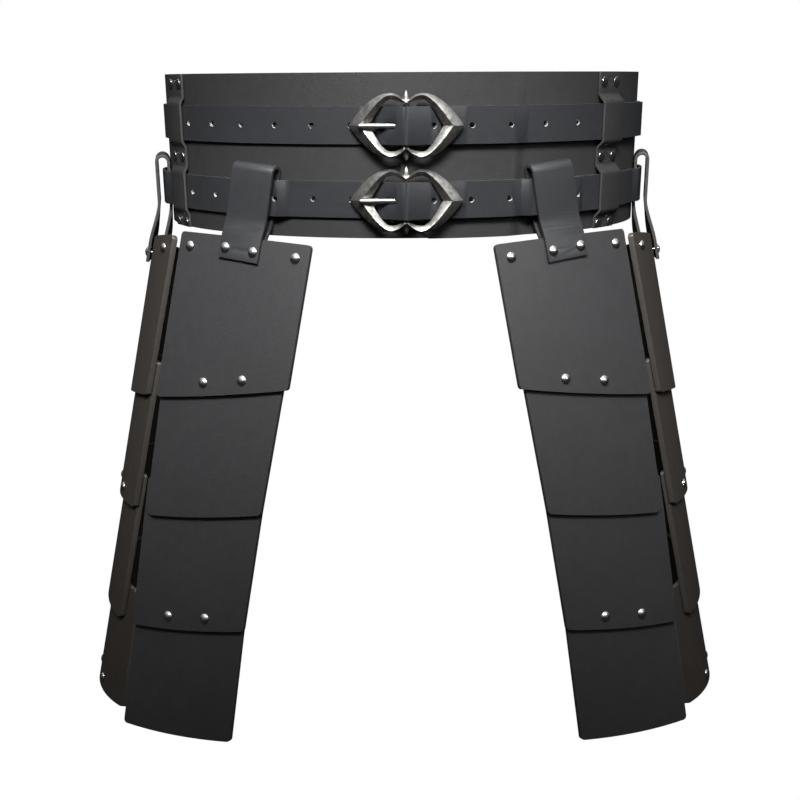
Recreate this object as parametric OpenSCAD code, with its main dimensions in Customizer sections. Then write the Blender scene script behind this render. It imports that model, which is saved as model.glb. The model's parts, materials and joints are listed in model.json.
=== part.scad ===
// Skirt armour: leather waist band, two buckled straps, four hanging tassets of four plates each.
// X is the wearer's left side as seen from the front (viewer's right), the front faces -Y, Z is up.
// The origin is the centre of the waist ring at half the height of the band. Millimetres.

/* [View] */
// Piece to draw

/* [Waist band] */
// Half width of the oval, outer surface
oval_a = 190.5; // [150:0.5:230]
// Half depth of the oval, outer surface
oval_b = 143; // [115:0.5:175]
// Height of the band
band_h = 114; // [90:1:140]
// Thickness of the band leather
band_t = 3; // [2:0.1:4]
// Angle at which the inner end of the band stops under the lap
lap_end = 22; // [15:0.5:24]
// Height of the lap tip's upper and lower shoulders
tip_shoulder = 23; // [10:1:40]
// Length of the slanted corners of the lap tip
tip_run = 24; // [10:1:40]

/* [Straps] */
// Width of the straps
strap_w = 25.6; // [22:0.1:27]
// Thickness of the strap leather
strap_t = 2.4; // [2:0.1:2.6]
// Height of the upper strap's middle
upper_z = 21.6; // [19:0.2:26]
// Height of the lower strap's middle
lower_z = -29.4; // [-32:0.2:-27]
// Pitch of the punched holes
hole_pitch = 28; // [20:0.5:34]
// Diameter of the punched holes
hole_d = 4; // [2.5:0.1:4.8]
// Angle of the upper strap's free tip
upper_tip = 76; // [66:1:84]
// Angle of the lower strap's free tip
lower_tip = 60; // [59:0.5:62]

/* [Buckles] */
// Where the buckle bar stands across the front
bar_x = 2.5; // [0:0.5:5]
// Radius of the buckle bar
bar_r = 2; // [1.6:0.1:2.2]
// Half width of the buckle frame
frame_u = 40; // [37:0.2:43]
// Half height of the buckle frame
frame_z = 21.8; // [20.5:0.1:22.5]
// Depth of the frame's section
frame_d = 4.6; // [3.5:0.1:6]
// Radius of the tongue
tongue_r = 1.9; // [1.3:0.05:2]

/* [Keepers] */
// Width of the keepers
keeper_w = 24; // [18:1:26]
// Thickness of the keeper leather
keeper_t = 1.8; // [1.4:0.1:1.8]
// Angle of the left keeper
keeper_left_t = -63.5; // [-64:0.1:-62]
// Angle of the right keeper
keeper_right_t = 53; // [51:0.5:54]

/* [Hangers] */
// Width of the hangers
hanger_w = 34; // [28:1:36]
// Thickness of the hanger leather
hanger_t = 2.4; // [2:0.1:2.6]
// Height of the hangers' fold top
fold_top_z = -4; // [-6:0.5:2]

/* [Tassets] */
// Thickness of the plate leather
plate_t = 3.5; // [2.5:0.1:4]
// Width of a tasset at its top
plate_w = 113; // [95:1:125]
// Distance between the lips of neighbouring plates
lip_step = 90; // [70:1:100]
// Length of plate 1
first_len = 116.5; // [90:0.5:130]
// Overlap of neighbouring plates
overlap = 29.5; // [24:0.5:36]
// Radius of the plate corners
corner_r = 3; // [2:0.5:6]
// Bow of the lips
lip_sag = 1.5; // [0.5:0.1:3]
// Angle of the front tassets round the oval
front_t = 34; // [33:0.5:36]
// Outward tilt of the front plates
front_tilt = 14.2; // [8:0.2:18]
// Roll of the front tassets
front_roll = 5; // [0:0.1:6]
// Slant of the front plates' lips
front_slant = 14; // [4:0.5:15]
// Bend radius of the front plates
front_r = 400; // [250:10:800]
// Angle of the side tassets round the oval
side_t = 81.5; // [79.5:0.5:83]
// Outward tilt of the side plates
side_tilt = 12.5; // [8:0.5:16]
// Bend radius of the side plates
side_r = 90; // [86:1:120]

/* [Rivets] */
// Diameter of the rivet caps
cap_d = 8; // [6:0.5:9]
// Height of the domed caps
dome_h = 2.2; // [1.5:0.1:3]
// Diameter of the rivet shanks
shank_d = 3; // [2.4:0.1:3.4]
// Thickness of the back caps
back_h = 1; // [0.8:0.1:1.5]

/* [Hidden] */
$fn = 48;
// Gap between layers of leather that lie on each other
gap = 0.15;
// Gap between neighbouring plates
plate_gap = 0.3;
// Radial clearance of a rivet in its hole, of an eye on its bar
fit = 0.05;
cap_r = cap_d / 2;
shank_r = shank_d / 2;
hole_r = shank_r + fit;
lap_lift = band_t + gap;
lap_ease = 5.5;
strap_step = strap_t + gap;
flat_w = gap + strap_t / 2;
// The flat inner leaf of a hanger stands off the curved band at its edges
end_r = oval_b * oval_b / oval_a;
loop_lift = hanger_t + hanger_w * hanger_w / (8 * end_r) + 2 * gap;
loop_half = hanger_w / 2 + 1.5;
loop_ease = 10;
front_mm = 3.04;
side_mm = 2.5;
leather_c = [0.13, 0.13, 0.14];
strap_c = [0.17, 0.17, 0.19];
metal_c = [0.72, 0.71, 0.69];

// Direction and place on the oval
function oval_yaw(t) = atan2(sin(t) / oval_a, cos(t) / oval_b);
function oval_pt(t, w) = [oval_a * sin(t) + w * sin(oval_yaw(t)), -oval_b * cos(t) - w * cos(oval_yaw(t))];
function smooth(x) = let(c = min(1, max(0, x))) c * c * (3 - 2 * c);
function unit(v) = v / norm(v);
function bez(a, b, c, d, n, i0 = 0) =
    [for (i = [i0 : n]) let(k = i / n, m = 1 - k) m * m * m * a + 3 * m * m * k * b + 3 * m * k * k * c + k * k * k * d];

// A ribbon polygon from points [x, y, half thickness]
function flat2(p) = [p[0], p[1]];
function path_dir(p, i) = unit(flat2(p[min(i + 1, len(p) - 1)]) - flat2(p[max(i - 1, 0)]));
function ribbon(p) = concat(
    [for (i = [0 : len(p) - 1]) let(d = path_dir(p, i)) flat2(p[i]) + p[i][2] * [-d[1], d[0]]],
    [for (i = [len(p) - 1 : -1 : 0]) let(d = path_dir(p, i)) flat2(p[i]) - p[i][2] * [-d[1], d[0]]]);
function thick(p, h) = [for (q = p) [q[0], q[1], h]];

// Rounded corner as an arc of points
function corner(a, p, b, r, n = 5) =
    let(u = unit(a - p), v = unit(b - p), half = acos(u * v) / 2, c = p + unit(u + v) * r / sin(half),
        q1 = p + u * r / tan(half), q2 = p + v * r / tan(half),
        a1 = atan2(q1[1] - c[1], q1[0] - c[0]), a2 = atan2(q2[1] - c[1], q2[0] - c[0]),
        da = (a2 - a1 + 540) % 360 - 180)
    [for (i = [0 : n]) c + r * [cos(a1 + da * i / n), sin(a1 + da * i / n)]];

// Waist band
band_n = 190;
function band_lift(q) = lap_lift * smooth((lap_end + 0.5 + lap_ease - 360 - q) / lap_ease);
function band_path() = [for (i = [0 : band_n]) let(q = lap_end - i * (361 + lap_end) / band_n)
    concat(oval_pt(q, band_lift(q) - band_t / 2), [band_t / 2])];
lap_tip_x = -1.4;

module lap_cut() {
    intersection() {
        rotate([90, 0, 0])
            linear_extrude(oval_b + 20)
                polygon([[lap_tip_x - 30, band_h / 2 + 1], [lap_tip_x + tip_run + 1, band_h / 2 + 1],
                    [lap_tip_x, tip_shoulder - 5], [lap_tip_x, -tip_shoulder - 5],
                    [lap_tip_x + tip_run - 4, -band_h / 2 - 1], [lap_tip_x - 30, -band_h / 2 - 1]]);
        translate([0, 0, -band_h / 2 - 1])
            linear_extrude(band_h + 2)
                polygon(ribbon([for (t = [-8 : 2 : lap_end + 4]) concat(oval_pt(t, gap / 2 + 4), [4])]));
    }
}

module waist_band() {
    color(leather_c)
        difference() {
            translate([0, 0, -band_h / 2])
                linear_extrude(band_h)
                    polygon(ribbon(band_path()));
            lap_cut();
            at_band(keeper_left_t) keeper_holes();
            at_band(keeper_right_t) keeper_holes();
        }
}

// Place on the band: local -y points outward, local x runs to the viewer's right in front
module at_band(t, z = 0) {
    translate([oval_a * sin(t), -oval_b * cos(t), z])
        rotate([0, 0, oval_yaw(t)])
            children();
}

// Straps
bar_h = gap + lap_lift + gap + 1.2 + bar_r + 2.4;
fold_in = bar_r + fit;
leaf_t = 1.2;
leaf_len = 22.5;
free_in = fold_in + strap_t + 0.2;
rise_a = 30;
fall_a = 22;
left_t = -9;
right_t = 14.5;
bar_c = [bar_x, -oval_b - bar_h];
function on_bar(r, a) = bar_c + r * [sin(a), -cos(a)];
function arc_len_table(n, t, s) = n == 0 ? [] : concat([[s, t]],
    arc_len_table(n - 1, t + 1, s + norm(oval_pt(t + 1, 2) - oval_pt(t, 2))));
arc_table = arc_len_table(110, asin(bar_x / oval_a), 0);
function t_at(s) = s >= 0 ? lookup(s, arc_table) : -lookup(-s, arc_table) + 2 * asin(bar_x / oval_a);
function bump(t, c, mm) = smooth(1 - (abs(t - c) * mm - loop_half) / loop_ease);
function bumps(t) = loop_lift * max(bump(t, front_t, front_mm), bump(t, -front_t, front_mm),
    bump(t, side_t, side_mm), bump(t, -side_t, side_mm), bump(t, 360 - front_t, front_mm),
    bump(t, 360 - side_t, side_mm));
function under(t) = t > 0 && t < 180 ? lap_lift * smooth(1 - (t - lap_end - 0.5) / lap_ease) : 0;
function strap_w_at(t, low) = flat_w + max(under(t), low ? bumps(t) : 0);
function fall_path(n) =
    let(p = on_bar(fold_in + strap_t / 2, fall_a), e = oval_pt(right_t, flat_w + lap_lift),
        y = oval_yaw(right_t))
    bez(p, p + 11 * [cos(fall_a), sin(fall_a)], e - 16 * [cos(y), sin(y)], e, n);
function rise_path(n) =
    let(p = on_bar(free_in + strap_t / 2, -rise_a), e = oval_pt(left_t, flat_w), y = oval_yaw(left_t))
    bez(e, e + 9 * [cos(y), sin(y)], p - 17 * [cos(rise_a), -sin(rise_a)], p, n);
fall = fall_path(14);
function shift_out(p, d) = [for (i = [0 : len(p) - 1]) let(v = path_dir(p, i)) p[i] + d * [v[1], -v[0]]];
function strap_path(low, tip) =
    let(leaf_w = lap_lift + gap + leaf_t / 2, t1 = asin((bar_x + leaf_len) / oval_a),
        t2 = asin((bar_x + 9) / oval_a), q = oval_pt(t2, leaf_w), b = on_bar(fold_in + leaf_t / 2, 180),
        rise = rise_path(12), n_round = 236, step = (360 + left_t - right_t) / n_round,
        wrap = [for (i = [0 : n_round]) let(t = right_t + i * step) oval_pt(t, strap_w_at(t, low))])
    concat(
        thick([for (i = [0 : 4]) oval_pt(t1 + (t2 - t1) * i / 4, leaf_w)], leaf_t / 2),
        thick(bez(q, q - [4, 0], b + [4, 0], b, 5, 1), leaf_t / 2),
        [for (a = [195 : 15 : 375]) let(h = leaf_t / 2 + (strap_t - leaf_t) / 2 * smooth((a - 180) / 90))
            concat(on_bar(fold_in + h, a), [h])],
        thick(fall, strap_t / 2),
        thick([for (i = [1 : n_round]) wrap[i]], strap_t / 2),
        thick([for (i = [1 : 12]) rise[i]], strap_t / 2),
        thick([for (a = [-rise_a + 6.5 : 6.5 : fall_a - 1]) on_bar(free_in + strap_t / 2, a)], strap_t / 2),
        thick(shift_out(fall, strap_t + 0.2), strap_t / 2),
        thick([for (i = [1 : (tip - right_t) / step]) shift_out(wrap, strap_step + 0.05)[i]], strap_t / 2));

// Place on the strap's run down from the bar
module at_fall(i) {
    d = path_dir(fall, i);
    translate([fall[i][0], fall[i][1], 0])
        rotate([0, 0, atan2(d[1], d[0])])
            children();
}

module punch(s, deep = 30) {
    at_band(t_at(s))
        rotate([90, 0, 0])
            translate([0, 0, gap / 2])
                cylinder(d = hole_d, h = deep);
}

hole_steps = 6;
// The tongue's hole is long enough for the tongue to drop and lift
tongue_drop = -2.5;
tongue_lift = 8.5;
slot_h = tongue_r + 0.45;
slot_lo = -11 * sin(tongue_lift) - slot_h;
slot_hi = 11 * sin(-tongue_drop) + slot_h;
slot_c = [[-slot_h, slot_lo], [slot_h, slot_lo], [slot_h, slot_hi], [-slot_h, slot_hi]];
tongue_slot = [for (i = [0 : 3]) each corner(slot_c[(i + 3) % 4], slot_c[i], slot_c[(i + 1) % 4], slot_h - 0.05, 4)];
module strap_holes() {
    for (k = [1 : hole_steps])
        punch(-hole_pitch * k - 11);
    for (k = [1 : hole_steps - 1])
        punch(hole_pitch * k + 17);
    // The first hole on the right goes through the free end only
    at_fall(6)
        translate([0, -strap_t / 2 - 0.1, 0])
            rotate([90, 0, 0])
                cylinder(d = hole_d, h = 8);
    // Slot for the tongue's eye, hole for the tongue and its play
    translate([bar_c[0], bar_c[1], -3.2])
        cylinder(r = fold_in + strap_t + 0.1, h = 6.4);
    translate([bar_c[0], bar_c[1], 0])
        rotate([0, 0, tongue_tip_a])
            rotate([0, -90, 0])
                linear_extrude(20)
                    polygon(tongue_slot);
}

module strap(low, z, tip) {
    difference() {
        translate([0, 0, z - strap_w / 2])
            linear_extrude(strap_w)
                polygon(ribbon(strap_path(low, tip)));
        translate([0, 0, z]) {
            strap_holes();
            fold_rivet_places() fold_rivet_seat();
        }
    }
}

module upper_strap() {
    color(strap_c) strap(false, upper_z, upper_tip);
}

module lower_strap() {
    color(strap_c) strap(true, lower_z, lower_tip);
}

// Rivets: origin on the outer face, local -y points outward
module rivet_hole(h = 40) {
    translate([0, h / 2, 0])
        rotate([90, 0, 0])
            cylinder(r = hole_r, h = h);
}

module shank(deep) {
    translate([0, deep, 0])
        rotate([90, 0, 0])
            cylinder(r = shank_r, h = deep);
}

module back_cap(deep) {
    translate([0, deep + back_h, 0])
        rotate([90, 0, 0])
            cylinder(r = cap_r - 0.5, h = back_h);
}

// A domed cap on a short rim, with its shank and back cap
dome_r = (cap_r * cap_r + (dome_h - 0.5) * (dome_h - 0.5)) / (2 * (dome_h - 0.5));
module domed_rivet(deep) {
    rotate([90, 0, 0])
        intersection() {
            cylinder(r = cap_r, h = dome_h + 1);
            translate([0, 0, dome_h - dome_r]) sphere(r = dome_r);
        }
    shank(deep);
    back_cap(deep);
}

module flat_rivet(deep, cap = 1) {
    rotate([90, 0, 0])
        cylinder(r = cap_r, h = cap);
    shank(deep);
    back_cap(deep);
}

// Fold rivets sit flush in the strap, under its free end
fold_rivet_z = 8;
flush_cap = 0.8;
flush_r = 3;
fold_deep = 3.7;
module fold_rivet_places() {
    for (z = [-fold_rivet_z, fold_rivet_z])
        at_fall(6)
            translate([0, 0, z])
                rotate([90, 0, 0])
                    children();
}

module fold_rivet_seat() {
    translate([0, 0, strap_t / 2 - flush_cap])
        cylinder(r = flush_r + fit, h = flush_cap + 0.1);
    translate([0, 0, -7])
        cylinder(r = hole_r, h = 8);
}

module strap_fold_rivets() {
    color(metal_c)
        for (z = [upper_z, lower_z])
            translate([0, 0, z])
                fold_rivet_places() {
                    translate([0, 0, strap_t / 2 - flush_cap])
                        cylinder(r = flush_r, h = flush_cap);
                    translate([0, 0, -fold_deep])
                        cylinder(r = shank_r, h = fold_deep + 0.5);
                }
}

// Keepers bulge over the straps between their rows of rivets
keeper_rows = [50, -3.6, -53.2];
keeper_rivet_x = 7.5;
keeper_cap_r = 3.5;
keeper_base = gap + keeper_t / 2;
function keeper_bulge(z, ease) = max([for (c = [upper_z, lower_z])
    smooth(1 - (abs(z - c) - strap_w / 2 - 0.3) / ease)]);
function keeper_path(top, ease) = [for (i = [0 : 114]) let(z = band_h / 2 - i * band_h / 114)
    [keeper_base + (top - keeper_base) * keeper_bulge(z, ease), z, keeper_t / 2]];

// A profile drawn as (outward, up) and drawn out across the width
module across(width) {
    rotate([90, 0, -90])
        linear_extrude(width, center = true)
            children();
}

module keeper_spots() {
    for (z = keeper_rows)
        for (x = [-keeper_rivet_x, keeper_rivet_x])
            translate([x, 0, z])
                children();
}

module keeper_holes() {
    keeper_spots() rivet_hole();
}

module keeper(t, top, ease) {
    at_band(t)
        difference() {
            across(keeper_w) polygon(ribbon(keeper_path(top, ease)));
            keeper_holes();
        }
}

module left_keeper() {
    color(leather_c) keeper(keeper_left_t, strap_step + 0.2 + keeper_t / 2, 6);
}

module right_keeper() {
    color(leather_c) keeper(keeper_right_t, 2 * strap_step + 0.3 + keeper_t / 2, 7);
}

module keeper_rivet_set(t) {
    deep = gap + keeper_t + band_t + 0.8;
    at_band(t)
        keeper_spots()
            translate([0, -gap - keeper_t, 0]) {
                rotate([90, 0, 0]) cylinder(r = keeper_cap_r, h = 1.2);
                shank(deep);
                translate([0, deep + back_h, 0]) rotate([90, 0, 0]) cylinder(r = keeper_cap_r, h = back_h);
            }
}

module keeper_rivets() {
    color(metal_c) {
        keeper_rivet_set(keeper_left_t);
        keeper_rivet_set(keeper_right_t);
    }
}

// Buckle frames: three matched curves for the outer edge, the ridge and the inner edge
frame_b0 = bar_h + 1.3;
frame_slope = 0.08;
frame_bow = 0.0035;
function frame_h(u) = frame_b0 + frame_slope * u - frame_bow * u * u;
curve_u = 42.8;
curve_z = 24.3;
lobe_u = 11.5;
ridge_u0 = curve_u - 8.3;
inner_u0 = curve_u - 15.3;
ridge_u = ridge_u0 * frame_u / curve_u;
function edge_pts(u0, z0, a, u2, lift, cusp, slack) = concat(
    bez([u0, 0], [u0, 0] + a, [lobe_u + u2, z0], [lobe_u, z0], 8),
    bez([lobe_u, z0], [lobe_u - slack, z0], [3, cusp + lift], [0, cusp], 5, 1));
outer_q = edge_pts(curve_u, curve_z, [-8.3, 12], 12.5, 2, curve_z - 6.1, 5.5);
ridge_q = edge_pts(ridge_u0, curve_z - 1.55, [-6.9, 9.8], 7, 2, curve_z - 7.4, 5);
inner_q = edge_pts(inner_u0, curve_z - 5, [-5, 8], 6, 2, curve_z - 9.1, 4);
function round_quarter(q) =
    let(n = len(q) - 1)
    concat(q, [for (i = [n - 1 : -1 : 0]) [-q[i][0], q[i][1]]],
        [for (i = [1 : n]) [-q[i][0], -q[i][1]]], [for (i = [n - 1 : -1 : 1]) [q[i][0], -q[i][1]]]);
outer_c = round_quarter(outer_q);
ridge_c = round_quarter(ridge_q);
inner_c = round_quarter(inner_q);
function frame_pt(p, up) = let(u = p[0] * frame_u / curve_u) [bar_x + u, -oval_b - frame_h(u) - up, p[1] * frame_z / curve_z];
frame_pts = [for (i = [0 : len(ridge_c) - 1]) each [frame_pt(outer_c[i], 0), frame_pt(outer_c[i], 1.6),
    frame_pt(ridge_c[i], frame_d), frame_pt(inner_c[i], 1.8), frame_pt(inner_c[i], 0)]];
frame_faces = [for (i = [0 : len(ridge_c) - 1]) for (k = [0 : 4])
    let(j = (i + 1) % len(ridge_c), a = i * 5 + k, b = i * 5 + (k + 1) % 5, c = j * 5 + k, d = j * 5 + (k + 1) % 5)
    each [[a, b, d], [a, d, c]]];

module buckle_frame() {
    polyhedron(frame_pts, frame_faces);
    // Centre bar with its pointed ends
    translate([bar_c[0], bar_c[1], 0]) {
        cylinder(r = bar_r, h = 2 * frame_z - 12, center = true);
        for (m = [0, 1])
            mirror([0, 0, m])
                translate([0, 0, frame_z - 7.4])
                    rotate_extrude()
                        polygon([[0, 0], [bar_r, 0], [bar_r + 0.4, 1], [bar_r + 0.4, 4], [bar_r + 0.1, 6.2],
                            [0.6, 8.8], [0, 9]]);
        // Shoulders that carry the bar to the frame
        for (m = [0, 1])
            mirror([0, 0, m])
                translate([-bar_r, -4.6, frame_z - 7.4])
                    cube([2 * bar_r, 4.6, 2.2]);
    }
}

module upper_buckle_frame() {
    color(metal_c) translate([0, 0, upper_z]) buckle_frame();
}

module lower_buckle_frame() {
    color(metal_c) translate([0, 0, lower_z]) buckle_frame();
}

tongue_len = 31.8;
tongue_tip_a = atan2(frame_h(-ridge_u) + frame_d + tongue_r + 0.15 - bar_h, ridge_u);
eye_r = bar_r + fit + 1.9;
eye_h = 4.4;
module buckle_tongue() {
    translate([bar_c[0], bar_c[1], 0])
        difference() {
            union() {
                translate([0, 0, -eye_h / 2]) cylinder(r = eye_r, h = eye_h);
                rotate([0, 0, tongue_tip_a])
                    rotate([0, -90, 0]) {
                        cylinder(r = tongue_r, h = tongue_len);
                        translate([0, 0, tongue_len]) sphere(r = tongue_r);
                    }
            }
            translate([0, 0, -eye_h]) cylinder(r = bar_r + fit, h = 2 * eye_h);
        }
}

module upper_buckle_tongue() {
    color(metal_c) translate([0, 0, upper_z]) buckle_tongue();
}

module lower_buckle_tongue() {
    color(metal_c) translate([0, 0, lower_z]) buckle_tongue();
}

// Tassets. Local x runs along the band, -y points outward, z is up from the swing axis.
// Down a tasset the distance s starts at the top of plate 1.
swing_z = -45;
swing_w = 4;
plate_step = plate_t + plate_gap;
front_w0 = 13;
front_z0 = -57.9;
side_w0 = 16.5;
side_z0 = -70;
front_shift = 4;
side_shift = 12;
front_lean = -6;
side_lean = 0;
tighten = 0.0006;
side_r2 = 1 / (1 / (side_r - plate_step) + tighten);
side_r4 = 1 / (1 / (side_r2 - 2 * plate_step) + tighten);
// How far the lips of the four plates lie from an even row
front_more = [0, 3.9, 3.8, -1.2];
side_more = [13.5, 14.5, 22.5, 17.5];
// How far each plate stands in from half its width: left and right at the top, left and right at the lip
front_in = [[-1, 1, -0.2, 0.1], [0, 6, 5.5, 6.3], [-1, 9, 7, 6.4], [5.5, 10.5, 11.6, 3.6]];
side_in = [[-3, 9.5, -1.3, 11.8], [0.5, 13, 0.1, 13.4], [1.5, 15, 1.7, 15.2], [3, 8, 2.9, 4.5]];
// Each kind: tilt, outward and upward place of plate 1, bend radii, slants of the top and the lips,
// lips' places, insets of the edges, place of the hanger across the plate, its lean
front_k = [front_tilt, front_w0, front_z0,
    [front_r, front_r - plate_step, front_r - 2 * plate_step, front_r - 3 * plate_step],
    [2.9, front_slant, front_slant, front_slant - 0.5, front_slant - 4], front_more, front_in, 0, front_lean];
side_k = [side_tilt, side_w0, side_z0, [side_r, side_r2, side_r2 - plate_step, side_r4],
    [14, 12, 2, -6, 0], side_more, side_in, -side_shift, side_lean];
total_len = first_len + 3 * lip_step + 20;
function depth(i) = (i - 1) * plate_step;
function rad(k, i) = k[3][i - 1];
function lip(k, i, x) = first_len + (i - 1) * lip_step + k[5][i - 1] - x * tan(k[4][i]);
function top(k, i, x) = i == 1 ? -x * tan(k[4][0]) : lip(k, i - 1, x) - overlap;
function face(k, i, x, o) = depth(i) + rad(k, i) - sqrt(pow(rad(k, i) - o, 2) - x * x);
lip_n = 8;
function outline(k, i) =
    let(h = plate_w / 2, e = k[6][i - 1], a = e[0] - h, b = h - e[1], c = e[2] - h, d = h - e[3],
        tl = [a, -top(k, i, a)], tr = [b, -top(k, i, b)],
        low = [for (j = [0 : lip_n]) let(x = d + (c - d) * j / lip_n)
            [x, -lip(k, i, x) - lip_sag * (1 - pow(2 * j / lip_n - 1, 2))]],
        r = i == 2 ? 2 * corner_r : corner_r)
    concat(corner(low[lip_n], tl, tr, corner_r), corner(tl, tr, low[0], corner_r),
        corner(tr, low[0], low[1], corner_r), [for (j = [1 : lip_n - 1]) low[j]],
        corner(low[lip_n - 1], low[lip_n], tl, r));

module at_tasset(k) {
    t = k == front_k ? -front_t : -side_t;
    at_band(t)
        translate([k == front_k ? -front_shift : side_shift, 0, swing_z])
            rotate([0, k == front_k ? front_roll : 1, 0])
                children();
}

module in_plates(k) {
    at_tasset(k)
        translate([0, -k[1], k[2] - swing_z])
            rotate([-k[0], 0, 0])
                children();
}

module on_plate(k, i, x, s) {
    translate([0, depth(i) + rad(k, i), -s])
        rotate([0, 0, asin(x / rad(k, i))])
            translate([0, -rad(k, i), 0])
                children();
}

// Rivet places
hang_x = 12;
hang_s = 9.5;
lip_x = 16.5;
front_mid = 2.7;
lower_mid = 0.5;
upper_x = 12.2;
corner_in = 10.5;
side_mid = 2.5;
lip_up = 8.8;
hidden_down = 9;
leather_w = 15;
leather_t = 2;
module hang_places(k) {
    on_plate(k, 1, k[7], top(k, 1, k[7]) + hang_s)
        for (x = [-hang_x, hang_x])
            translate([x, 0, 0])
                children();
}

module corner_places(k) {
    for (x = [k[6][0][0] - plate_w / 2 + corner_in, plate_w / 2 - k[6][0][1] - corner_in])
        on_plate(k, 1, x, top(k, 1, x) + 10.5)
            children();
}

function lip_mid(k, i) = k == side_k ? side_mid : i == 1 ? front_mid : lower_mid;
module lip_places(k, i) {
    for (x = [lip_mid(k, i) - lip_x, lip_mid(k, i) + lip_x])
        on_plate(k, i, x, lip(k, i, x) - lip_up)
            children();
}

module hidden_places(k, i, x0, mid = 0) {
    for (x = [mid - x0, mid + x0])
        on_plate(k, i, x, top(k, i, x) + hidden_down)
            children();
}

module flush_seat() {
    rotate([90, 0, 0])
        translate([0, 0, -flush_cap])
            cylinder(r = flush_r + fit, h = flush_cap + 1);
    rivet_hole();
}

module flush_rivet(deep) {
    rotate([90, 0, 0])
        translate([0, 0, -flush_cap])
            cylinder(r = flush_r, h = flush_cap);
    shank(deep);
    back_cap(deep);
}

module plate_holes(k, i) {
    if (i == 1) hang_places(k) rivet_hole();
    if (i == 1) corner_places(k) rivet_hole();
    if (k == front_k && i <= 2) lip_places(k, 1) rivet_hole();
    if (k == front_k && i == 3) hidden_places(k, 3, lip_x, front_mid) flush_seat();
    if (k == front_k && i >= 3) lip_places(k, 3) rivet_hole();
    if (k == side_k && i == 2) hidden_places(k, 2, upper_x, k[7]) flush_seat();
    if (k == side_k && (i == 2 || i == 3)) lip_places(k, 2) rivet_hole();
    if (k == side_k && i == 4) hidden_places(k, 4, lip_x, side_mid) flush_seat();
    if (k == side_k && i == 4) lip_places(k, 4) rivet_hole();
}

module plate(k, i) {
    color(leather_c)
        in_plates(k)
            difference() {
                intersection() {
                    translate([0, depth(i) + rad(k, i), -total_len - 40])
                        difference() {
                            cylinder(r = rad(k, i), h = total_len + 80);
                            translate([0, 0, -1]) cylinder(r = rad(k, i) - plate_t, h = total_len + 82);
                        }
                    rotate([90, 0, 0])
                        translate([0, 0, -60])
                            linear_extrude(80)
                                polygon(outline(k, i));
                }
                plate_holes(k, i);
            }
}

// Hangers: a loop round the lower strap, its two leaves on both faces of plate 1
hang_down = 17;
hang_in = gap + hanger_t / 2;
hang_out = flat_w + loop_lift + strap_step + 0.05 + strap_t / 2 + 2 * gap + hanger_t / 2;
leather_sag = 0.55;
function inner_off(k) = plate_t + (k == side_k ? leather_t + 3.2 : 0.5);
function hang_pt(k, s, off) = [k[1] + s * sin(k[0]) + off * cos(k[0]), k[2] - swing_z - s * cos(k[0]) + off * sin(k[0])];
function hang_dir(k) = [sin(k[0]), -cos(k[0])];
function hang_path(k) =
    let(oi = -inner_off(k) - hanger_t / 2, oo = hanger_t / 2 + 0.05, r = (hang_out - hang_in) / 2,
        s0 = top(k, 1, k[7]), zc = fold_top_z - hanger_t / 2 - r - swing_z, a = hang_pt(k, s0 + 2, oi),
        b = [hang_in, -43 - swing_z], c = [hang_out, -42 - swing_z], d = hang_pt(k, s0, oo), v = hang_dir(k))
    thick(concat([hang_pt(k, s0 + hang_down, oi), hang_pt(k, s0 + 9, oi)], bez(a, a - 7 * v, b - [0, 7], b, 8),
        [[hang_in, -30 - swing_z]],
        [for (i = [0 : 12]) [hang_in + r - r * cos(15 * i), zc + r * sin(15 * i)]],
        [[hang_out, -30 - swing_z]], bez(c, c - [0, 5], d - 5 * v, d, 6),
        [hang_pt(k, s0 + 9, oo), hang_pt(k, s0 + hang_down, oo)]), hanger_t / 2);

// Down to the plate the loop turns to lie flat on the bent plate, and it may lean sideways
function hang_turn(k, z) = smooth((-43 - swing_z - z) / (-43 - k[2] + top(k, 1, k[7]))) * asin(k[7] / rad(k, 1));
function hang_set(k, z) = smooth((-43 - swing_z - z) / (-43 - k[2] + top(k, 1, k[7]))) * face(k, 1, k[7], 0);
function hang_x_at(k, z) = k[7] - k[8] * min(1.1, max(0, (z - k[2] + swing_z) / 52));
hang_p = [hang_path(front_k), hang_path(side_k)];
function hang_corner(k, p, i, side, face_s) =
    let(d = path_dir(p, i), z = p[i][1] + face_s * p[i][2] * d[0], w = p[i][0] - face_s * p[i][2] * d[1],
        a = hang_turn(k, p[i][1]), g = side * hanger_w / 2)
    [hang_x_at(k, p[i][1]) + g * cos(a), -w + hang_set(k, p[i][1]) + g * sin(a), z];
module hanger_loop(k) {
    p = k == front_k ? hang_p[0] : hang_p[1];
    n = len(p);
    points = [for (i = [0 : n - 1]) each [hang_corner(k, p, i, -1, -1), hang_corner(k, p, i, 1, -1),
        hang_corner(k, p, i, 1, 1), hang_corner(k, p, i, -1, 1)]];
    faces = concat([[0, 1, 2], [0, 2, 3]], [[4 * n - 1, 4 * n - 2, 4 * n - 3], [4 * n - 1, 4 * n - 3, 4 * n - 4]],
        [for (i = [0 : n - 2]) for (q = [0 : 3])
            let(a = 4 * i + q, b = 4 * i + (q + 1) % 4) each [[a, b + 4, b], [a, a + 4, b + 4]]]);
    polyhedron(points, faces);
}

module hanger(k) {
    color(leather_c)
        difference() {
            at_tasset(k)
                hanger_loop(k);
            in_plates(k)
                hang_places(k) rivet_hole();
        }
}

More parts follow.
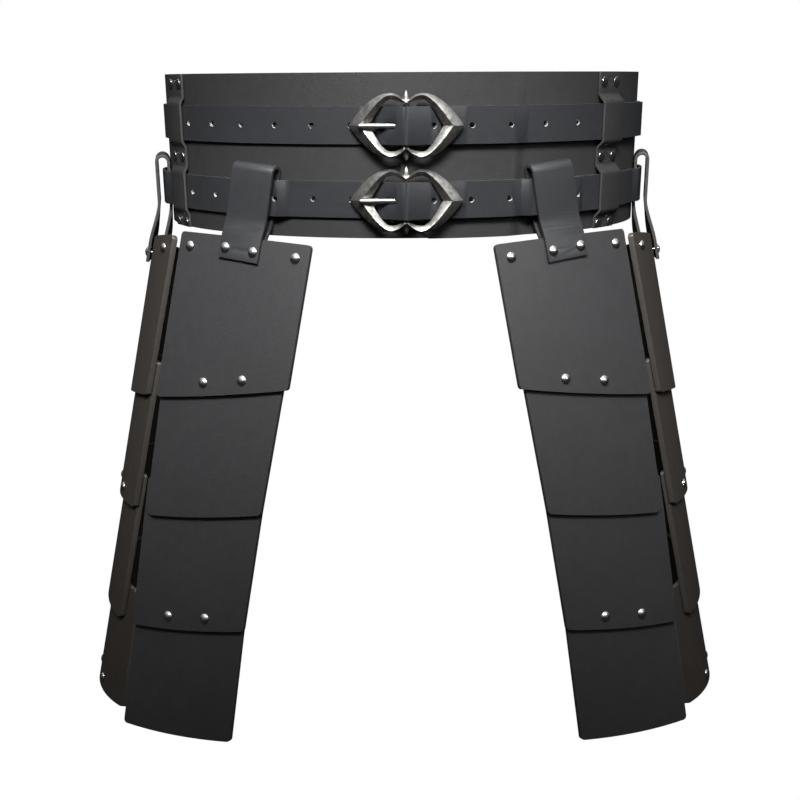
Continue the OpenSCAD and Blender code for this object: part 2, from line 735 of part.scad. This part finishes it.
// Inner leathers: strips behind the plates that join one rivet row to the next
function leather_path(k, i, j, x, s_a, s_j, s_b) =
    let(e = abs(x) + leather_w / 2, c = leather_sag + leather_t / 2,
        da = face(k, i, e, plate_t) - face(k, i, e, 0) + c, db = face(k, j, e, plate_t) - face(k, i, e, 0) + c)
    thick(concat([for (n = [0 : 1]) [-da, -s_a - n * (s_j - 16 - s_a)]],
        [for (n = [1 : 8]) [-da - (db - da) * smooth(n / 8), -(s_j - 16 + 13 * n / 8)]], [[-db, -s_b]]),
        leather_t / 2);

module leather(k, i, j, x, s_a, s_b) {
    on_plate(k, i, x, 0)
        across(leather_w)
            polygon(ribbon(leather_path(k, i, j, x, s_a, top(k, j, x), s_b)));
}

module front_leathers() {
    color(leather_c)
        in_plates(front_k)
            for (x = [front_mid - lip_x, front_mid + lip_x])
                difference() {
                    leather(front_k, 2, 3, x, lip(front_k, 1, x) - lip_up - 8,
                        top(front_k, 3, x) + hidden_down + 8);
                    lip_places(front_k, 1) rivet_hole();
                    hidden_places(front_k, 3, lip_x, front_mid) rivet_hole();
                }
}

module side_upper_leathers() {
    color(leather_c)
        in_plates(side_k)
            for (x = [side_k[7] - upper_x, side_k[7] + upper_x])
                difference() {
                    leather(side_k, 1, 2, x, top(side_k, 1, x) + 3, top(side_k, 2, x) + hidden_down + 8);
                    hang_places(side_k) rivet_hole();
                    hidden_places(side_k, 2, upper_x, side_k[7]) rivet_hole();
                }
}

module side_lower_leathers() {
    color(leather_c)
        in_plates(side_k)
            for (x = [side_mid - lip_x, side_mid + lip_x])
                difference() {
                    leather(side_k, 3, 4, x, lip(side_k, 2, x) - lip_up - 8, lip(side_k, 4, x) - lip_up + 7);
                    lip_places(side_k, 2) rivet_hole();
                    hidden_places(side_k, 4, lip_x, side_mid) rivet_hole();
                    lip_places(side_k, 4) rivet_hole();
                }
}

back_gap = 0.1;
hang_deep = hanger_t + 0.15;
module hang_rivets(k) {
    hang_places(k)
        translate([0, -hang_deep, 0])
            domed_rivet(hang_deep + inner_off(k) + hanger_t + back_gap);
}

// Depth of a leather's back under the outer face of plate i, at a rivet at x
function leather_back(k, i, j, x) =
    let(e = abs(x) + leather_w / 2)
    face(k, j, e, plate_t) - face(k, i, e, 0) + leather_sag + leather_t + 3 * back_gap;
function worst(k, i, j, mid, x) = max(leather_back(k, i, j, mid - x), leather_back(k, i, j, mid + x));

module front_upper_rivets() {
    color(metal_c)
        in_plates(front_k) {
            hang_rivets(front_k);
            corner_places(front_k) domed_rivet(plate_t + back_gap);
            lip_places(front_k, 1) domed_rivet(plate_step + worst(front_k, 2, 2, front_mid, lip_x));
        }
}

module front_lower_rivets() {
    color(metal_c)
        in_plates(front_k) {
            hidden_places(front_k, 3, lip_x, front_mid) flush_rivet(worst(front_k, 3, 3, front_mid, lip_x));
            lip_places(front_k, 3) domed_rivet(plate_step + plate_t + back_gap);
        }
}

module side_upper_rivets() {
    color(metal_c)
        in_plates(side_k) {
            hang_rivets(side_k);
            corner_places(side_k) domed_rivet(plate_t + back_gap);
        }
}

module side_middle_rivets() {
    color(metal_c)
        in_plates(side_k) {
            hidden_places(side_k, 2, upper_x, side_k[7]) flush_rivet(worst(side_k, 2, 2, side_k[7], upper_x) + 0.4);
            lip_places(side_k, 2) domed_rivet(plate_step + worst(side_k, 3, 3, side_mid, lip_x) + 0.4);
        }
}

module side_lower_rivets() {
    color(metal_c)
        in_plates(side_k) {
            hidden_places(side_k, 4, lip_x, side_mid) flush_rivet(worst(side_k, 4, 4, side_mid, lip_x) + 0.4);
            lip_places(side_k, 4) domed_rivet(worst(side_k, 4, 4, side_mid, lip_x) + 0.4);
        }
}

module front_left_hanger() { hanger(front_k); }
module front_left_leathers() { front_leathers(); }
module front_left_plate_1() { plate(front_k, 1); }
module front_left_plate_2() { plate(front_k, 2); }
module front_left_plate_3() { plate(front_k, 3); }
module front_left_plate_4() { plate(front_k, 4); }
module front_left_upper_rivets() { front_upper_rivets(); }
module front_left_lower_rivets() { front_lower_rivets(); }
module front_right_hanger() { mirror([1, 0, 0]) front_left_hanger(); }
module front_right_leathers() { mirror([1, 0, 0]) front_left_leathers(); }
module front_right_plate_1() { mirror([1, 0, 0]) front_left_plate_1(); }
module front_right_plate_2() { mirror([1, 0, 0]) front_left_plate_2(); }
module front_right_plate_3() { mirror([1, 0, 0]) front_left_plate_3(); }
module front_right_plate_4() { mirror([1, 0, 0]) front_left_plate_4(); }
module front_right_upper_rivets() { mirror([1, 0, 0]) front_left_upper_rivets(); }
module front_right_lower_rivets() { mirror([1, 0, 0]) front_left_lower_rivets(); }
module side_left_hanger() { hanger(side_k); }
module side_left_upper_leathers() { side_upper_leathers(); }
module side_left_lower_leathers() { side_lower_leathers(); }
module side_left_plate_1() { plate(side_k, 1); }
module side_left_plate_2() { plate(side_k, 2); }
module side_left_plate_3() { plate(side_k, 3); }
module side_left_plate_4() { plate(side_k, 4); }
module side_left_upper_rivets() { side_upper_rivets(); }
module side_left_middle_rivets() { side_middle_rivets(); }
module side_left_lower_rivets() { side_lower_rivets(); }
module side_right_hanger() { mirror([1, 0, 0]) side_left_hanger(); }
module side_right_upper_leathers() { mirror([1, 0, 0]) side_left_upper_leathers(); }
module side_right_lower_leathers() { mirror([1, 0, 0]) side_left_lower_leathers(); }
module side_right_plate_1() { mirror([1, 0, 0]) side_left_plate_1(); }
module side_right_plate_2() { mirror([1, 0, 0]) side_left_plate_2(); }
module side_right_plate_3() { mirror([1, 0, 0]) side_left_plate_3(); }
module side_right_plate_4() { mirror([1, 0, 0]) side_left_plate_4(); }
module side_right_upper_rivets() { mirror([1, 0, 0]) side_left_upper_rivets(); }
module side_right_middle_rivets() { mirror([1, 0, 0]) side_left_middle_rivets(); }
module side_right_lower_rivets() { mirror([1, 0, 0]) side_left_lower_rivets(); }

waist_band();
upper_strap();
lower_strap();
left_keeper();
right_keeper();
keeper_rivets();
strap_fold_rivets();
upper_buckle_frame();
upper_buckle_tongue();
lower_buckle_frame();
lower_buckle_tongue();
front_left_hanger();
front_left_leathers();
front_left_plate_1();
front_left_plate_2();
front_left_plate_3();
front_left_plate_4();
front_left_upper_rivets();
front_left_lower_rivets();
front_right_hanger();
front_right_leathers();
front_right_plate_1();
front_right_plate_2();
front_right_plate_3();
front_right_plate_4();
front_right_upper_rivets();
front_right_lower_rivets();
side_left_hanger();
side_left_upper_leathers();
side_left_lower_leathers();
side_left_plate_1();
side_left_plate_2();
side_left_plate_3();
side_left_plate_4();
side_left_upper_rivets();
side_left_middle_rivets();
side_left_lower_rivets();
side_right_hanger();
side_right_upper_leathers();
side_right_lower_leathers();
side_right_plate_1();
side_right_plate_2();
side_right_plate_3();
side_right_plate_4();
side_right_upper_rivets();
side_right_middle_rivets();
side_right_lower_rivets();
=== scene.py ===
import json
import math
import bmesh
import bpy
import numpy as np
from mathutils import Matrix, Vector


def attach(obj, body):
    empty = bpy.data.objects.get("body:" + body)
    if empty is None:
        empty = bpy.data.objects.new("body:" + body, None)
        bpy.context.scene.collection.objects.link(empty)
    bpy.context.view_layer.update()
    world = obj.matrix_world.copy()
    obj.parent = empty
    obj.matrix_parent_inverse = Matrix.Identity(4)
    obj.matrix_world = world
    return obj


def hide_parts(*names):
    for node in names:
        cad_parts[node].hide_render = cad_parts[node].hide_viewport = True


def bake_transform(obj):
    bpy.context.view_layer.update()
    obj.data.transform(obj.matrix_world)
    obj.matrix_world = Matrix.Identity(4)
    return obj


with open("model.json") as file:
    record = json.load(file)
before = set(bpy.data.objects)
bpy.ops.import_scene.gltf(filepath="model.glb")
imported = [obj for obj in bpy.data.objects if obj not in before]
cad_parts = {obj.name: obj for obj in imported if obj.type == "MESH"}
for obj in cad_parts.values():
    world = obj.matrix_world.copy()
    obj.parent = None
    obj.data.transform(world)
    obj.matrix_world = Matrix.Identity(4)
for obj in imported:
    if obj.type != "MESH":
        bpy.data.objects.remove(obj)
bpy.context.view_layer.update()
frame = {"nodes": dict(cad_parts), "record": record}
nodes = frame["nodes"]
record = frame["record"]
JOINTS = {j["name"]: j for j in record["behaviour"]["joints"]}
BODY_OF = {n: b for b, ns in record["behaviour"]["bodies"].items() for n in ns}
scene = bpy.context.scene

# Half axes of the waist oval, in metres
OVAL_A, OVAL_B = 0.1905, 0.143

# Places round the oval, in degrees of its parameter from the front, right positive
LEFT_KEEPER_T = -63.5
RIGHT_KEEPER_T = 53
FRONT_TASSET_T = 34
SIDE_TASSET_T = 81.5

# Widths of the rounded edges, in metres, and the steps across each
THICK_ROUND = 0.0005
THIN_ROUND = 0.0003
METAL_ROUND = 0.00025
ROUND_STEPS = 2

# How leather bends at a joint: the length on each side that is cut to bend, the length of
# one cut, and where the bend starts and ends, measured down from the joint
BEND_STEP = 0.002
HANGER_BEND = {"reach": 0.022, "before": -0.004, "after": 0.014}
FOLD_BEND = {"reach": 0.02, "before": -0.006, "after": 0.006}


# Node helpers
def add(nt, kind, **props):
    n = nt.nodes.new(kind)
    for k, v in props.items():
        setattr(n, k, v)
    return n


def link(nt, a, b):
    nt.links.new(a, b)


def maths(nt, op, a, b):
    n = add(nt, "ShaderNodeMath", operation=op)
    for i, v in enumerate((a, b)):
        if isinstance(v, (int, float)):
            n.inputs[i].default_value = v
        else:
            link(nt, v, n.inputs[i])
    return n.outputs[0]


def remap(nt, value, lo, hi, out_lo=0.0, out_hi=1.0, smooth=True):
    n = add(nt, "ShaderNodeMapRange", interpolation_type="SMOOTHSTEP" if smooth else "LINEAR")
    link(nt, value, n.inputs[0])
    for i, v in zip((1, 2, 3, 4), (lo, hi, out_lo, out_hi)):
        n.inputs[i].default_value = v
    return n.outputs[0]


def noise(nt, coords, scale, detail, rough):
    n = add(nt, "ShaderNodeTexNoise")
    n.inputs["Scale"].default_value = scale
    n.inputs["Detail"].default_value = detail
    n.inputs["Roughness"].default_value = rough
    link(nt, coords, n.inputs["Vector"])
    return n.outputs[0]


def mix_color(nt, fac, a, b):
    n = add(nt, "ShaderNodeMix", data_type="RGBA")
    link(nt, fac, n.inputs[0])
    n.inputs[6].default_value = (*a, 1.0)
    n.inputs[7].default_value = (*b, 1.0)
    return n.outputs[2]


def bump(nt, bsdf, height, strength, distance):
    n = add(nt, "ShaderNodeBump")
    n.inputs["Strength"].default_value = strength
    n.inputs["Distance"].default_value = distance
    link(nt, height, n.inputs["Height"])
    link(nt, n.outputs["Normal"], bsdf.inputs["Normal"])


def new_material(name):
    """A material with one Principled shader, with its node tree and object coordinates."""
    mat = bpy.data.materials.new(name)
    mat.use_nodes = True
    nt = mat.node_tree
    nt.nodes.clear()
    out = add(nt, "ShaderNodeOutputMaterial")
    bsdf = add(nt, "ShaderNodeBsdfPrincipled")
    link(nt, bsdf.outputs[0], out.inputs["Surface"])
    coords = add(nt, "ShaderNodeTexCoord").outputs["Object"]
    return mat, nt, bsdf, coords


def grain_group():
    """Leather grain: fine height for the bump, slow mottling, and light scuffs."""
    g = bpy.data.node_groups.new("leather_grain", "ShaderNodeTree")
    g.interface.new_socket("Coords", in_out="INPUT", socket_type="NodeSocketVector")
    for name in ("Height", "Mottle", "Scuff"):
        g.interface.new_socket(name, in_out="OUTPUT", socket_type="NodeSocketFloat")
    i = g.nodes.new("NodeGroupInput")
    o = g.nodes.new("NodeGroupOutput")
    c = i.outputs["Coords"]
    pebble = add(g, "ShaderNodeTexVoronoi", feature="SMOOTH_F1")
    pebble.inputs["Scale"].default_value = 620.0
    link(g, c, pebble.inputs["Vector"])
    fine = noise(g, c, 1500.0, 3.0, 0.6)
    broad = noise(g, c, 140.0, 3.0, 0.6)
    h = maths(g, "ADD", maths(g, "MULTIPLY", pebble.outputs["Distance"], 0.5), maths(g, "MULTIPLY", fine, 0.5))
    h = maths(g, "ADD", h, maths(g, "MULTIPLY", broad, 0.9))
    link(g, h, o.inputs["Height"])
    cloud = noise(g, c, 22.0, 6.0, 0.62)
    link(g, remap(g, cloud, 0.38, 0.66), o.inputs["Mottle"])
    scratch = noise(g, c, 75.0, 8.0, 0.72)
    link(g, remap(g, scratch, 0.6, 0.72), o.inputs["Scuff"])
    return g


GRAIN = grain_group()


def leather(name, dark, light, rough, bumps, spec):
    mat, nt, bsdf, coords = new_material(name)
    g = add(nt, "ShaderNodeGroup", node_tree=GRAIN)
    link(nt, coords, g.inputs["Coords"])
    speck = remap(nt, g.outputs["Height"], 0.55, 1.25, 0.0, 0.7, smooth=False)
    tone = mix_color(nt, maths(nt, "ADD", maths(nt, "MULTIPLY", g.outputs["Mottle"], 0.5), speck), dark, light)
    link(nt, tone, bsdf.inputs["Base Color"])
    r = remap(nt, g.outputs["Mottle"], 0.0, 1.0, rough + 0.05, rough - 0.05, smooth=False)
    r = maths(nt, "ADD", r, maths(nt, "MULTIPLY", g.outputs["Scuff"], 0.06))
    link(nt, r, bsdf.inputs["Roughness"])
    bump(nt, bsdf, g.outputs["Height"], bumps, 0.0004)
    bsdf.inputs["Specular IOR Level"].default_value = spec
    return mat


def metal(name, dark, light, rough, scale, bumps, lo=0.4, hi=0.62):
    mat, nt, bsdf, coords = new_material(name)
    n = noise(nt, coords, scale, 5.0, 0.65)
    link(nt, mix_color(nt, remap(nt, n, lo, hi), dark, light), bsdf.inputs["Base Color"])
    bsdf.inputs["Metallic"].default_value = 1.0
    link(nt, remap(nt, n, 0.3, 0.7, rough + 0.08, rough - 0.04, smooth=False), bsdf.inputs["Roughness"])
    bump(nt, bsdf, n, bumps, 0.0003)
    return mat


# Leather: name, darkest and lightest colour, roughness, bump strength, specular level
# Metal: name, darkest and lightest colour, roughness, grain scale, bump strength
M = {
    "plate": leather("plate_leather", (0.015, 0.015, 0.016), (0.023, 0.023, 0.024), 0.46, 0.22, 0.38),
    "side": leather("side_plate_leather", (0.018, 0.015, 0.013), (0.026, 0.022, 0.019), 0.5, 0.22, 0.32),
    "band": leather("band_leather", (0.012, 0.012, 0.012), (0.019, 0.019, 0.019), 0.5, 0.28, 0.32),
    "strap": leather("strap_leather", (0.011, 0.012, 0.0135), (0.017, 0.018, 0.020), 0.44, 0.2, 0.3),
    "hanger": leather("hanger_leather", (0.016, 0.016, 0.0175), (0.023, 0.024, 0.026), 0.42, 0.2, 0.36),
    "flesh": leather("flesh_leather", (0.016, 0.015, 0.015), (0.024, 0.022, 0.021), 0.75, 0.5, 0.2),
    # The two edge leathers are lighter than the faces they border: a painted highlight along the cut edges
    "edge": leather("painted_highlight_edge", (0.026, 0.025, 0.024), (0.042, 0.040, 0.038), 0.45, 0.1, 0.4),
    "side_edge": leather("side_plate_painted_highlight_edge", (0.024, 0.021, 0.018), (0.036, 0.032, 0.028), 0.48, 0.1, 0.36),
    "cut": leather("bare_cut", (0.20, 0.19, 0.18), (0.34, 0.33, 0.31), 0.6, 0.1, 0.3),
    "nickel": metal("polished_nickel", (0.60, 0.58, 0.55), (0.78, 0.76, 0.73), 0.2, 300.0, 0.03),
    "flat_nickel": metal("flat_nickel", (0.32, 0.31, 0.30), (0.52, 0.50, 0.48), 0.26, 300.0, 0.05),
    "silver": metal("antique_silver", (0.13, 0.127, 0.12), (0.36, 0.35, 0.33), 0.4, 220.0, 0.1, 0.3, 0.66),
}


# The waist oval
def oval_yaw(t):
    """The turn about Z that the band's tangent has at parameter t, both in radians."""
    return math.atan2(math.sin(t) / OVAL_A, math.cos(t) / OVAL_B)


def oval_tangent(degrees):
    yaw = oval_yaw(math.radians(degrees))
    return Vector((math.cos(yaw), math.sin(yaw), 0.0))


def oval_normal(co):
    """Outward normal of the oval at the foot of a point near it."""
    x, y = co[0], co[1]
    for _ in (0, 1):
        t = math.atan2(x / OVAL_A, -y / OVAL_B)
        yaw = oval_yaw(t)
        n = Vector((math.sin(yaw), -math.cos(yaw), 0.0))
        w = (co[0] - OVAL_A * math.sin(t)) * n.x + (co[1] + OVAL_B * math.cos(t)) * n.y
        x, y = co[0] - w * n.x, co[1] - w * n.y
    return n


# Normals that hide the facets of a curved face
SMALL_FACE = 1e-6


def exact_normals(me, broad, normal_at):
    """Gives the corners of the broad faces, and of what meets them smoothly, their exact normals."""
    want = {}
    for f in me.polygons:
        if broad(f):
            for v in f.vertices:
                want.setdefault(v, []).append(normal_at(me.vertices[v].co, f.normal))
    corners = [cn.vector.copy() for cn in me.corner_normals]
    for f in me.polygons:
        for li in f.loop_indices:
            for d in want.get(me.loops[li].vertex_index, ()):
                if d.dot(f.normal) > 0.75:
                    corners[li] = d
    me.normals_split_custom_set([tuple(v) for v in corners])


def bent_normals(me):
    """Normals for a plate bent to a cylinder, whose axis is fitted to its broad faces."""
    n = np.array([f.normal[:] for f in me.polygons])
    c = np.array([f.center[:] for f in me.polygons])
    areas = np.array([f.area for f in me.polygons])
    out = np.linalg.eigh((n * areas[:, None]).T @ n)[1][:, 2]
    broad = (np.abs(n @ out) > 0.6) & (areas > 0.1 * areas.max())
    run = np.linalg.eigh((n[broad] * areas[broad][:, None]).T @ n[broad])[1][:, 0]
    base = np.stack([np.cross(run, out), out], 1)
    # A face's centre is the axis plus its normal times a radius, one for each side
    rows, want = [], []
    for i in np.where(broad)[0]:
        for k in (0, 1):
            nk = (n[i] @ base)[k]
            front = n[i] @ out > 0
            rows.append([k == 0, k == 1, nk if front else 0.0, 0.0 if front else nk])
            want.append((c[i] @ base)[k])
    fit = np.linalg.lstsq(np.array(rows, float), np.array(want), rcond=None)[0]

    def normal_at(co, face_n):
        d = (np.array(co[:]) @ base - fit[:2]) @ base.T
        d = Vector(d / np.linalg.norm(d))
        return d if d.dot(face_n) > 0 else -d

    exact_normals(me, lambda f: abs(np.dot(f.normal, out)) > 0.6 and f.area > SMALL_FACE, normal_at)


def oval_normals(me):
    """Normals for what lies along the waist oval. Laps and folds keep their own."""
    def broad(f):
        return f.area > SMALL_FACE and abs(f.normal.dot(oval_normal(f.center))) > 0.9996

    def normal_at(co, face_n):
        n = oval_normal(co)
        return n if n.dot(face_n) > 0 else -n

    exact_normals(me, broad, normal_at)


# Which faces take the second or third material: each takes a mesh and gives a test of a face
def thin_faces(bm):
    """The cut edges of a bent plate."""
    s = np.zeros((3, 3))
    for f in bm.faces:
        n = np.array(f.normal)
        s += f.calc_area() * np.outer(n, n)
    out = Vector(np.linalg.eigh(s)[1][:, 2])
    return lambda f: abs(f.normal.dot(out)) < 0.55


def level_faces(bm):
    """The upper and lower edge of the band."""
    return lambda f: abs(f.normal.z) > 0.6


def strap_faces(bm):
    """Edges along the strap take the lighter edge colour, a painted highlight; walls of the punched holes are bare.
    """
    z0 = sum(v.co.z for v in bm.verts) / len(bm.verts)

    def test(f):
        c = f.calc_center_median()
        if f.calc_area() < 2e-6 and abs(c.z - z0) < 0.003 and abs(f.normal.dot(oval_normal(c))) < 0.5:
            return 2
        return abs(f.normal.z) > 0.6

    return test


def faces_along(degrees):
    """The edges of an upright leather at one place round the oval."""
    return lambda bm: (lambda f: abs(f.normal.dot(oval_tangent(degrees))) > 0.6)


# Pieces made from the CAD nodes
def welded(node):
    """A bmesh of a CAD node with its flat faces whole again."""
    bm = bmesh.new()
    bm.from_mesh(nodes[node].data)
    bmesh.ops.remove_doubles(bm, verts=bm.verts, dist=2e-6)
    bmesh.ops.dissolve_limit(bm, angle_limit=math.radians(0.4), verts=bm.verts, edges=bm.edges)
    return bm


def sharp_edges(bm, angle):
    return [e for e in bm.edges if len(e.link_faces) == 2 and e.calc_face_angle(0.0) > math.radians(angle)]


def piece(node, mats, width, faces=None, angle=35, smooth_angle=40, settle=None):
    """The node's look: its edges rounded, its materials set, and its normals settled."""
    bm = welded(node)
    bmesh.ops.bevel(bm, geom=sharp_edges(bm, angle), offset=width, segments=ROUND_STEPS, profile=0.5,
                    affect="EDGES", clamp_overlap=True, material=-1)
    if faces:
        test = faces(bm)
        for f in bm.faces:
            f.material_index = int(test(f))
    for f in bm.faces:
        f.smooth = True
    for e in bm.edges:
        e.smooth = e.calc_face_angle(0.0) < math.radians(smooth_angle)
    me = bpy.data.meshes.new(node + "_look")
    bm.to_mesh(me)
    bm.free()
    for m in mats:
        me.materials.append(M[m])
    if settle:
        settle(me)
    ob = bpy.data.objects.new(node + "_look", me)
    scene.collection.objects.link(ob)
    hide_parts(node)
    return ob


# Each leather's second material is its lighter edge colour, a painted highlight on the cut edges
for node, body in BODY_OF.items():
    if node == "waist_band":
        ob = piece(node, ("band", "edge"), THICK_ROUND, level_faces, settle=oval_normals)
    elif node in ("upper_strap", "lower_strap"):
        ob = piece(node, ("strap", "edge", "cut"), THIN_ROUND, strap_faces, settle=oval_normals)
    elif node.endswith("_keeper"):
        place = LEFT_KEEPER_T if node.startswith("left") else RIGHT_KEEPER_T
        ob = piece(node, ("band", "edge"), THIN_ROUND, faces_along(place))
    elif "_plate_" in node:
        mats = ("side", "side_edge") if node.startswith("side") else ("plate", "edge")
        ob = piece(node, mats, THICK_ROUND, thin_faces, settle=bent_normals)
    elif node.endswith("_rivets"):
        flat = node in ("keeper_rivets", "strap_fold_rivets")
        ob = piece(node, ("flat_nickel" if flat else "nickel",), METAL_ROUND, smooth_angle=60)
    elif "buckle" in node:
        ob = piece(node, ("silver",), METAL_ROUND, angle=22, smooth_angle=30)
    else:
        continue
    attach(ob, body)


# Leather cut across at its joints: hangers round the swing, inner leathers round the folds
def cut_across(bm, point, normal, reach):
    """Cuts the mesh into short lengths round a joint so that it can bend."""
    k = -reach
    while k <= reach:
        geom = list(bm.verts) + list(bm.edges) + list(bm.faces)
        bmesh.ops.bisect_plane(bm, geom=geom, plane_co=point + normal * k, plane_no=normal, dist=1e-7)
        k += BEND_STEP


def bender(node, joint, mats, faces, reach, before, after):
    j = JOINTS[joint]
    p = Vector(j["pos_m"])
    down = Vector((0, 0, -1))
    ob = piece(node, mats, THIN_ROUND, faces)
    bm = bmesh.new()
    bm.from_mesh(ob.data)
    cut_across(bm, p, down, reach)
    bm.to_mesh(ob.data)
    bm.free()
    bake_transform(ob)


for side, sign in (("left", -1), ("right", 1)):
    front_edges = faces_along(sign * FRONT_TASSET_T)
    side_edges = faces_along(sign * SIDE_TASSET_T)
    for kind, edges in (("front", front_edges), ("side", side_edges)):
        bender(f"{kind}_{side}_hanger", f"{kind}_{side}_swing", ("hanger", "edge"), edges, **HANGER_BEND)
    bender(f"front_{side}_leathers", f"front_{side}_fold", ("flesh", "edge"), front_edges, **FOLD_BEND)
    for part in ("upper", "lower"):
        bender(f"side_{side}_{part}_leathers", f"side_{side}_{part}_fold", ("flesh", "edge"), side_edges, **FOLD_BEND)


# Camera: its place and aim were fitted to the photograph
CAMERA_AT = (-0.0028, -0.913, 0.0517)
CAMERA_DOWN, CAMERA_ROLL = 16.6, -0.32

cam_data = bpy.data.cameras.new("camera")
cam_data.lens = 48.3
cam_data.sensor_width = 36.0
cam = bpy.data.objects.new("camera", cam_data)
scene.collection.objects.link(cam)
turn = Matrix.Rotation(math.radians(90 - CAMERA_DOWN), 4, "X") @ Matrix.Rotation(math.radians(CAMERA_ROLL), 4, "Z")
cam.matrix_world = Matrix.Translation(CAMERA_AT) @ turn
scene.camera = cam
scene.render.resolution_x = 800
scene.render.resolution_y = 800
scene.view_settings.view_transform = "Standard"
scene.view_settings.look = "None"
scene.view_settings.exposure = 0.0
scene.view_settings.gamma = 1.0

# Light: the camera sees white, and the pieces see a dim room that is brighter above
world = bpy.data.worlds.new("studio")
scene.world = world
world.use_nodes = True
wt = world.node_tree
wt.nodes.clear()
w_out = add(wt, "ShaderNodeOutputWorld")
back = add(wt, "ShaderNodeBackground")
back.inputs["Color"].default_value = (1.0, 1.0, 1.0, 1.0)
back.inputs["Strength"].default_value = 1.0
room = add(wt, "ShaderNodeBackground")
coord = add(wt, "ShaderNodeTexCoord")
xyz = add(wt, "ShaderNodeSeparateXYZ")
link(wt, coord.outputs["Generated"], xyz.inputs[0])
up = remap(wt, xyz.outputs["Z"], -0.05, 0.45, 0.015, 0.16)
crown = remap(wt, xyz.outputs["Z"], 0.3, 0.9, 0.0, 0.7)
link(wt, maths(wt, "ADD", up, crown), room.inputs["Strength"])
room.inputs["Color"].default_value = (0.96, 0.98, 1.0, 1.0)
path = add(wt, "ShaderNodeLightPath")
mix = add(wt, "ShaderNodeMixShader")
link(wt, path.outputs["Is Camera Ray"], mix.inputs[0])
link(wt, room.outputs[0], mix.inputs[1])
link(wt, back.outputs[0], mix.inputs[2])
link(wt, mix.outputs[0], w_out.inputs["Surface"])


def area_light(name, at, to, size, power, spread=180):
    d = bpy.data.lights.new(name, "AREA")
    d.shape = "RECTANGLE"
    d.size, d.size_y = size
    d.energy = power
    d.spread = math.radians(spread)
    o = bpy.data.objects.new(name, d)
    o.location = at
    o.rotation_euler = (Vector(to) - Vector(at)).to_track_quat("-Z", "Y").to_euler()
    scene.collection.objects.link(o)


area_light("key", (-0.02, -0.68, 0.5), (0, -0.15, -0.03), (0.8, 0.2), 3.1, spread=42)
area_light("fill", (0.75, -0.8, 0.42), (0.08, -0.12, -0.05), (0.4, 0.4), 0.5, spread=90)
area_light("top", (0.0, 0.1, 1.5), (0, 0, 0), (1.0, 0.6), 6.5)
